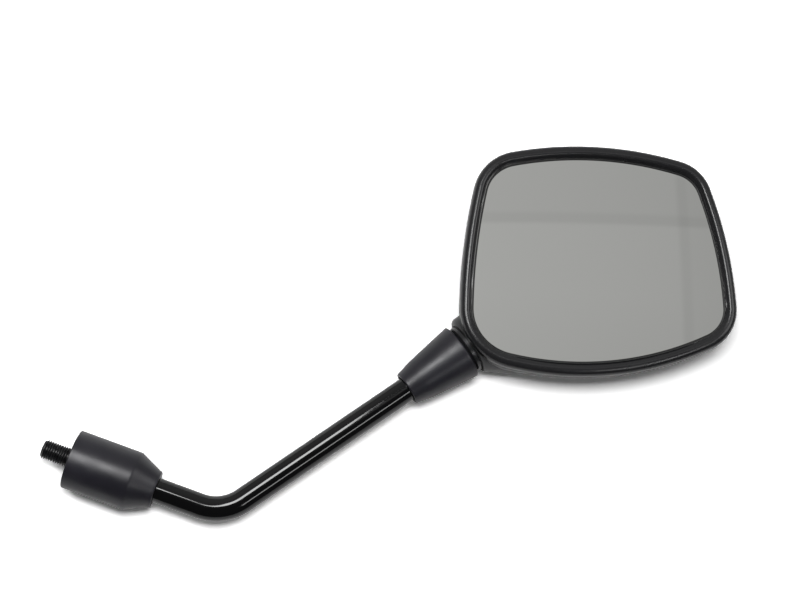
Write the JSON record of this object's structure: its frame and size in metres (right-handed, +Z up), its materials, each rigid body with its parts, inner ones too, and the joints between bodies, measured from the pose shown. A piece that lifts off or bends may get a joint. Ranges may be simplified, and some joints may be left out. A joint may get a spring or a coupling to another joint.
{
  "type": "motorcycle mirror",
  "caption": "Handlebar mirror: threaded stud, bent round stem with rubber covers, clamped ball joint in the neck, and a convex glass in a bowed head with a raised rim.",
  "frame": {"origin": "on the stud's axis, at the adapter's seat face", "axes": "+Z up the lower stem and out of the handlebar's mirror boss, the stud below it; the stem bends in the XZ plane and leans to -X; the glass faces -Y; rest is the pose in the picture"},
  "size_m": [0.2687, 0.0385, 0.3088],
  "materials": {
    "black_steel": "black plated steel, satin",
    "gloss_black": "gloss black paint on steel",
    "zinc_steel": "zinc plated steel, satin",
    "spring_steel": "blued spring steel",
    "soft_rubber": "matt moulded rubber",
    "seal_rubber": "matt rubber",
    "nylon": "natural nylon",
    "cast_alloy": "as cast",
    "black_plastic": "satin moulded black plastic",
    "gloss_plastic": "semi-gloss black plastic",
    "mirror": "silvered convex glass",
    "foam": "closed-cell foam with adhesive faces",
    "backing": "matt black plastic sheet"
  },
  "bodies": {
    "adapter": {"stud_adapter": "black_steel"},
    "stem": {"lock_washer": "zinc_steel", "lock_nut": "zinc_steel", "stem_rod": "gloss_black", "ball_stud": "zinc_steel"},
    "lower_cover": {"lower_cover": "soft_rubber"},
    "upper_cover": {"upper_cover": "soft_rubber"},
    "joint_rear": {"rear_liner": "nylon"},
    "joint_front": {"front_liner": "nylon"},
    "head": {"neck_collar": "gloss_plastic", "socket_seat": "zinc_steel", "clamp_cup": "zinc_steel", "thrust_washer": "zinc_steel", "disc_springs": "spring_steel", "socket_block": "cast_alloy", "block_screws": "zinc_steel", "housing_shell": "black_plastic", "bezel_ring": "gloss_plastic", "glass_seal": "seal_rubber", "mirror_glass": "mirror", "foam_pad": "foam", "backing_plate": "backing"}
  },
  "joints": [
    {"name": "stem_swivel", "type": "hinge", "parent": "adapter", "child": "stem", "pos_m": [0, 0, 0], "axis": [0, 0, 1], "range_deg": [-180, 180]},
    {"name": "lower_cover_slide", "type": "slide", "parent": "stem", "child": "lower_cover", "axis": [0, 0, 1], "range_m": [0, 0.022]},
    {"name": "upper_cover_slide", "type": "slide", "parent": "stem", "child": "upper_cover", "axis": [0.8141, 0, -0.5807], "range_m": [0, 0.06]},
    {"name": "head_spin", "type": "hinge", "parent": "stem", "child": "joint_rear", "pos_m": [-0.13433, 0, 0.17782], "axis": [-0.8141, 0, 0.5807], "continuous": true},
    {"name": "head_tilt", "type": "hinge", "parent": "joint_rear", "child": "joint_front", "pos_m": [-0.13433, 0, 0.17782], "axis": [0.5807, 0, 0.8141], "range_deg": [-12, 12]},
    {"name": "head_swing", "type": "hinge", "parent": "joint_front", "child": "head", "pos_m": [-0.13433, 0, 0.17782], "axis": [0, 1, 0], "range_deg": [-12, 12]}
  ]
}
